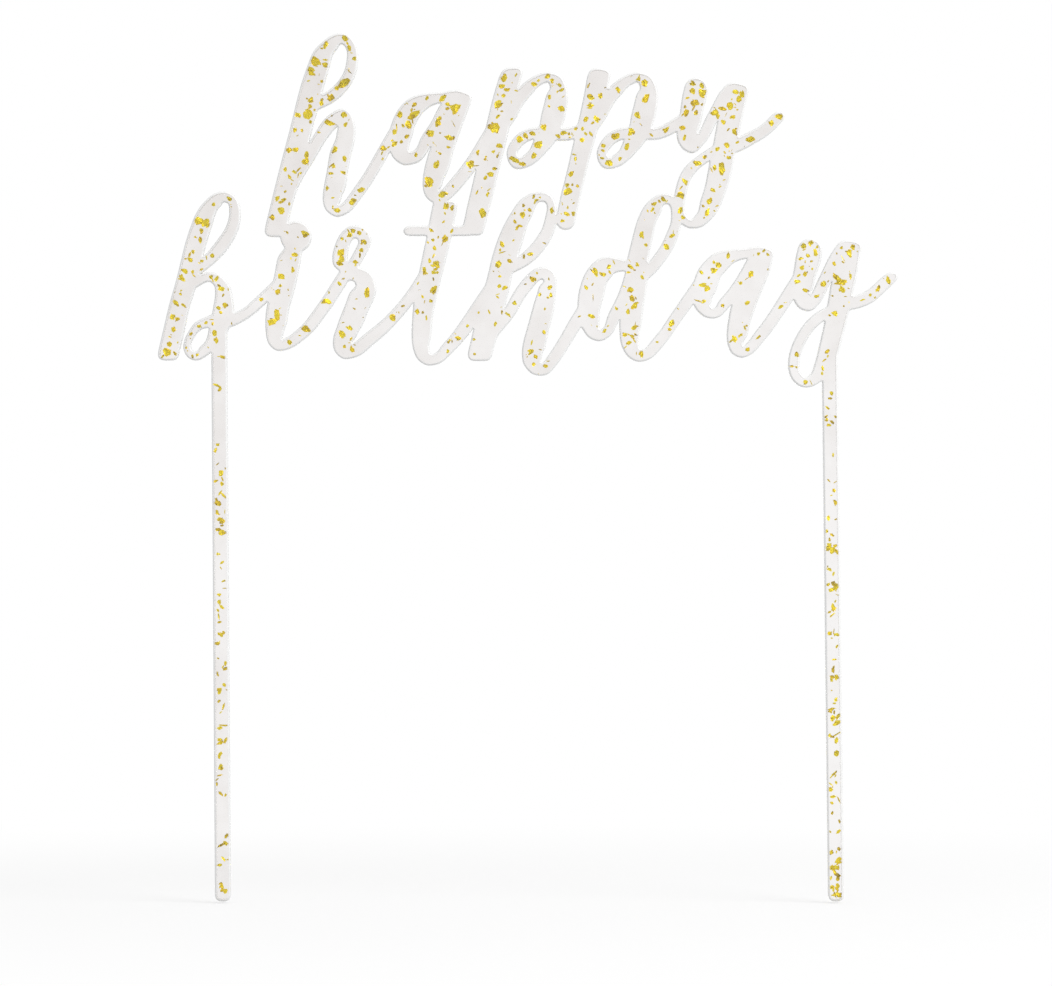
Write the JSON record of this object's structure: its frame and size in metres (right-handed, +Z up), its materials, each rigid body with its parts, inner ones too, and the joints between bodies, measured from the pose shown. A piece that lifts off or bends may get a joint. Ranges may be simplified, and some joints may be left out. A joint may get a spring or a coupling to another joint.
{
  "type": "cake topper",
  "caption": "Flat clear acrylic cake topper: a joined-script birthday greeting on two long sticks, with gold foil flakes cast into the sheet.",
  "frame": {"origin": "between the tips of the two sticks, on the sheet's mid plane", "axes": "+Z up along the sticks, +X to the right as the greeting is read, -Y towards the reader"},
  "size_m": [0.1481, 0.003, 0.1735],
  "materials": {
    "clear_acrylic": "polished clear",
    "gold_foil": "crumpled leaf"
  },
  "bodies": {
    "root": {"upper_h": "clear_acrylic", "upper_a": "clear_acrylic", "upper_p_first": "clear_acrylic", "upper_p_second": "clear_acrylic", "upper_y": "clear_acrylic", "lower_b": "clear_acrylic", "lower_i": "clear_acrylic", "lower_r": "clear_acrylic", "lower_t": "clear_acrylic", "lower_h": "clear_acrylic", "lower_d": "clear_acrylic", "lower_a": "clear_acrylic", "lower_y": "clear_acrylic", "left_stick": "clear_acrylic", "right_stick": "clear_acrylic", "upper_h_flakes": "gold_foil", "upper_a_flakes": "gold_foil", "upper_p_first_flakes": "gold_foil", "upper_p_second_flakes": "gold_foil", "upper_y_flakes": "gold_foil", "lower_b_flakes": "gold_foil", "lower_i_flakes": "gold_foil", "lower_r_flakes": "gold_foil", "lower_t_flakes": "gold_foil", "lower_h_flakes": "gold_foil", "lower_d_flakes": "gold_foil", "lower_a_flakes": "gold_foil", "lower_y_flakes": "gold_foil", "left_stick_flakes": "gold_foil", "right_stick_flakes": "gold_foil"}
  },
  "joints": []
}
